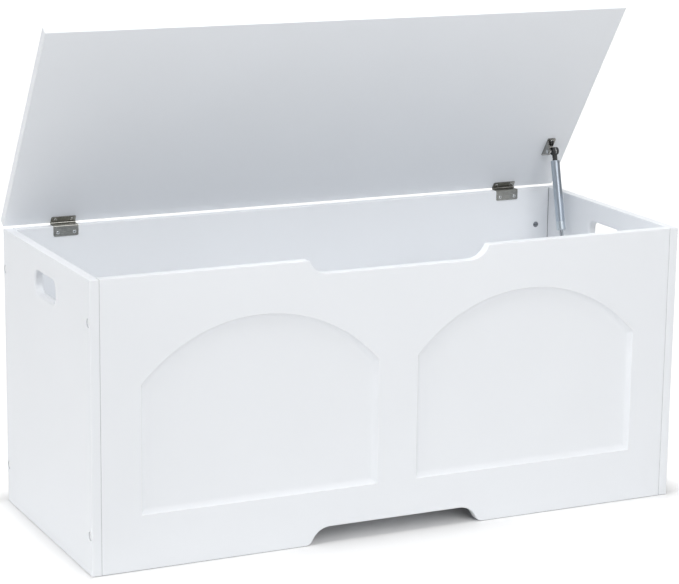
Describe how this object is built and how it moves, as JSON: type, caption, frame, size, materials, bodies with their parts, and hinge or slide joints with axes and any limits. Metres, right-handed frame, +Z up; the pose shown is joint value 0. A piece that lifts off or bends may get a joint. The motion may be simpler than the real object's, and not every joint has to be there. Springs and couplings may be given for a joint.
{
  "type": "toy box",
  "caption": "White wooden toy box with arched front recesses, hand holds in its ends, a finger scoop, and a hinged lid held open by a gas strut.",
  "frame": {"origin": "on the floor, at the middle of the whole box's length and depth as it stands with its lid open", "axes": "+X to the right seen from the front, along the lid's hinge axis; +Y from the front towards the back; +Z up"},
  "size_m": [0.992, 0.4082, 0.7838],
  "materials": {
    "white_board": "satin white paint on 15 mm board",
    "zinc_bolts": "bright zinc plate",
    "zinc_nuts": "dull zinc plate",
    "white_caps": "moulded white plastic",
    "beech_dowels": "bare fluted beech",
    "hinge_steel": "nickel plate",
    "clip_wire": "bright zinc plate on spring wire",
    "screw_steel": "nickel plate",
    "bracket_steel": "dark nickel plate",
    "stud_steel": "bright zinc plate",
    "black_socket": "moulded black nylon",
    "strut_paint": "silver grey enamel",
    "strut_guide": "silver grey enamel",
    "rod_chrome": "hard chrome, ground",
    "piston_alloy": "machined"
  },
  "bodies": {
    "carcass": {"left_side_panel": "white_board", "right_side_panel": "white_board", "front_panel": "white_board", "back_panel": "white_board", "bottom_panel": "white_board", "front_panel_bolts": "zinc_bolts", "back_panel_bolts": "zinc_bolts", "front_barrel_nuts": "zinc_nuts", "back_barrel_nuts": "zinc_nuts", "front_bolt_caps": "white_caps", "back_bolt_caps": "white_caps", "front_dowels": "beech_dowels", "back_dowels": "beech_dowels", "left_hinge_body_leaf": "hinge_steel", "left_hinge_pin": "hinge_steel", "left_hinge_body_screws": "screw_steel", "right_hinge_body_leaf": "hinge_steel", "right_hinge_pin": "hinge_steel", "right_hinge_body_screws": "screw_steel", "strut_side_bracket": "bracket_steel", "strut_side_screws": "screw_steel"},
    "lid": {"lid_panel": "white_board", "left_hinge_lid_leaf": "hinge_steel", "left_hinge_lid_screws": "screw_steel", "right_hinge_lid_leaf": "hinge_steel", "right_hinge_lid_screws": "screw_steel", "strut_lid_bracket": "bracket_steel", "strut_lid_screws": "screw_steel", "strut_upper_stud": "stud_steel"},
    "strut_cylinder": {"strut_tube": "strut_paint", "strut_rod_guide": "strut_guide", "strut_upper_socket": "black_socket", "strut_upper_clip": "clip_wire"},
    "strut_piston_rod": {"strut_rod": "rod_chrome", "strut_piston": "piston_alloy", "strut_lower_socket": "black_socket", "strut_lower_clip": "clip_wire", "strut_lower_stud": "stud_steel"}
  },
  "joints": [
    {"name": "lid_hinge", "type": "hinge", "parent": "carcass", "child": "lid", "pos_m": [0, 0.18988, 0.447], "axis": [1, 0, 0], "range_deg": [0, 56.86]},
    {"name": "strut_upper_pivot", "type": "hinge", "parent": "lid", "child": "strut_cylinder", "pos_m": [0.463, 0.13163, 0.51633], "axis": [1, 0, 0], "range_deg": [-52.65, 0]},
    {"name": "strut_slide", "type": "slide", "parent": "strut_cylinder", "child": "strut_piston_rod", "axis": [0, 0.2351, 0.972], "range_m": [0, 0.085]}
  ],
  "couplings": [
    {"joint": "strut_upper_pivot", "follows": "lid_hinge", "ratio": -0.92504},
    {"joint": "strut_slide", "follows": "lid_hinge", "m_per_rad": 0.085607}
  ]
}
